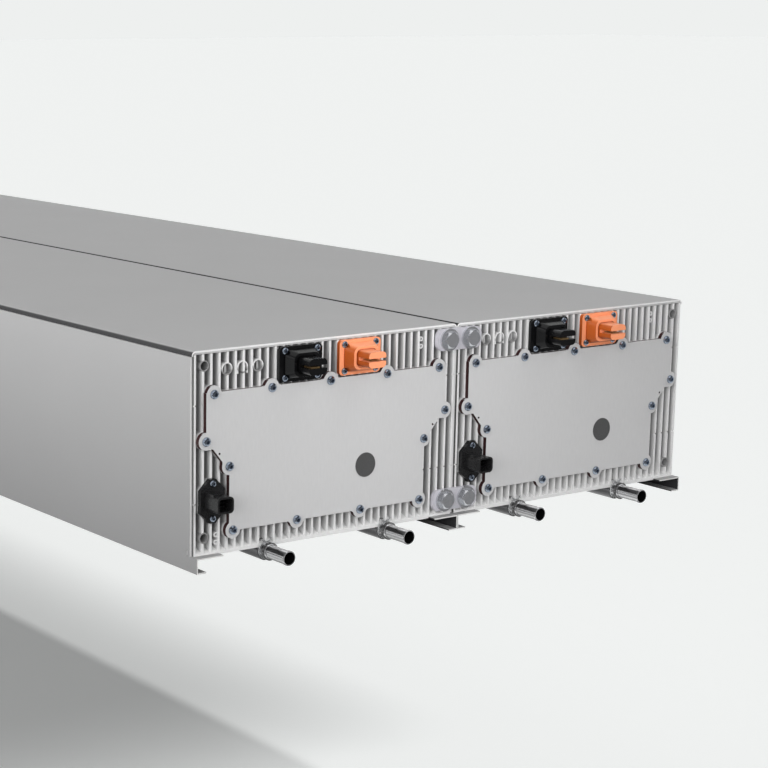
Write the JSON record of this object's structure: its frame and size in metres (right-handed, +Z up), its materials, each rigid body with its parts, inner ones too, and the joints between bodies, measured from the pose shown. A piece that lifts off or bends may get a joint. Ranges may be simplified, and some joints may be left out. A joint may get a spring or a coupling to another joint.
{
  "type": "grid battery storage unit",
  "caption": "Two long liquid-cooled battery modules bolted side by side, with ribbed end castings, leg channels, power and signal sockets and coolant stubs",
  "frame": {"origin": "on the floor, under the middle of the unit's bounding box", "axes": "+Z up, -Y the end with the sockets and the access covers, +X to the right when that end is seen from the front"},
  "size_m": [0.7624, 2.261, 0.2515],
  "materials": {
    "shell": "satin grey powder coat",
    "top_cover": "satin grey powder coat",
    "leg": "satin grey powder coat",
    "casting": "fine blasted",
    "cold_plate": "milled",
    "cell": "blue film",
    "cell_pad": "matte",
    "end_plate": "milled",
    "insulation_board": "matte",
    "busbar": "bare copper",
    "circuit_board": "satin",
    "tray": "galvanised",
    "inner_plastic": "matte",
    "fuse": "glazed",
    "access_cover": "fine grained sheet",
    "gasket": "matte",
    "zinc_screw": "bright zinc",
    "vent_disc": "fine woven",
    "black_plastic": "satin",
    "orange_plastic": "satin",
    "contact": "plated",
    "signal_plastic": "satin",
    "stub": "polished",
    "port_boss": "satin",
    "clip": "bright spring steel",
    "link": "zinc plated",
    "link_bolt": "zinc plated"
  },
  "bodies": {
    "root": {"left_shell": "shell", "left_top_cover": "top_cover", "left_outer_leg": "leg", "left_inner_leg": "leg", "left_front_casting": "casting", "left_rear_casting": "casting", "left_cold_plate": "cold_plate", "left_cells": "cell", "left_cell_pads": "cell_pad", "left_end_plates": "end_plate", "left_insulation_boards": "insulation_board", "left_busbars": "busbar", "left_sense_strip": "circuit_board", "left_electronics_tray": "tray", "left_control_board": "circuit_board", "left_contactors": "inner_plastic", "left_fuse": "fuse", "left_access_cover": "access_cover", "left_cover_gasket": "gasket", "left_cover_screws": "zinc_screw", "left_vent_disc": "vent_disc", "left_black_socket": "black_plastic", "left_orange_socket": "orange_plastic", "left_contacts": "contact", "left_connector_screws": "zinc_screw", "left_signal_socket": "signal_plastic", "left_coolant_stubs": "stub", "left_port_bosses": "port_boss", "left_port_clips": "clip", "right_shell": "shell", "right_top_cover": "top_cover", "right_inner_leg": "leg", "right_outer_leg": "leg", "right_front_casting": "casting", "right_rear_casting": "casting", "right_cold_plate": "cold_plate", "right_cells": "cell", "right_cell_pads": "cell_pad", "right_end_plates": "end_plate", "right_insulation_boards": "insulation_board", "right_busbars": "busbar", "right_sense_strip": "circuit_board", "right_electronics_tray": "tray", "right_control_board": "circuit_board", "right_contactors": "inner_plastic", "right_fuse": "fuse", "right_access_cover": "access_cover", "right_cover_gasket": "gasket", "right_cover_screws": "zinc_screw", "right_vent_disc": "vent_disc", "right_black_socket": "black_plastic", "right_orange_socket": "orange_plastic", "right_contacts": "contact", "right_connector_screws": "zinc_screw", "right_signal_socket": "signal_plastic", "right_coolant_stubs": "stub", "right_port_bosses": "port_boss", "right_port_clips": "clip", "link_plates": "link", "link_bolts": "link_bolt"}
  },
  "joints": []
}
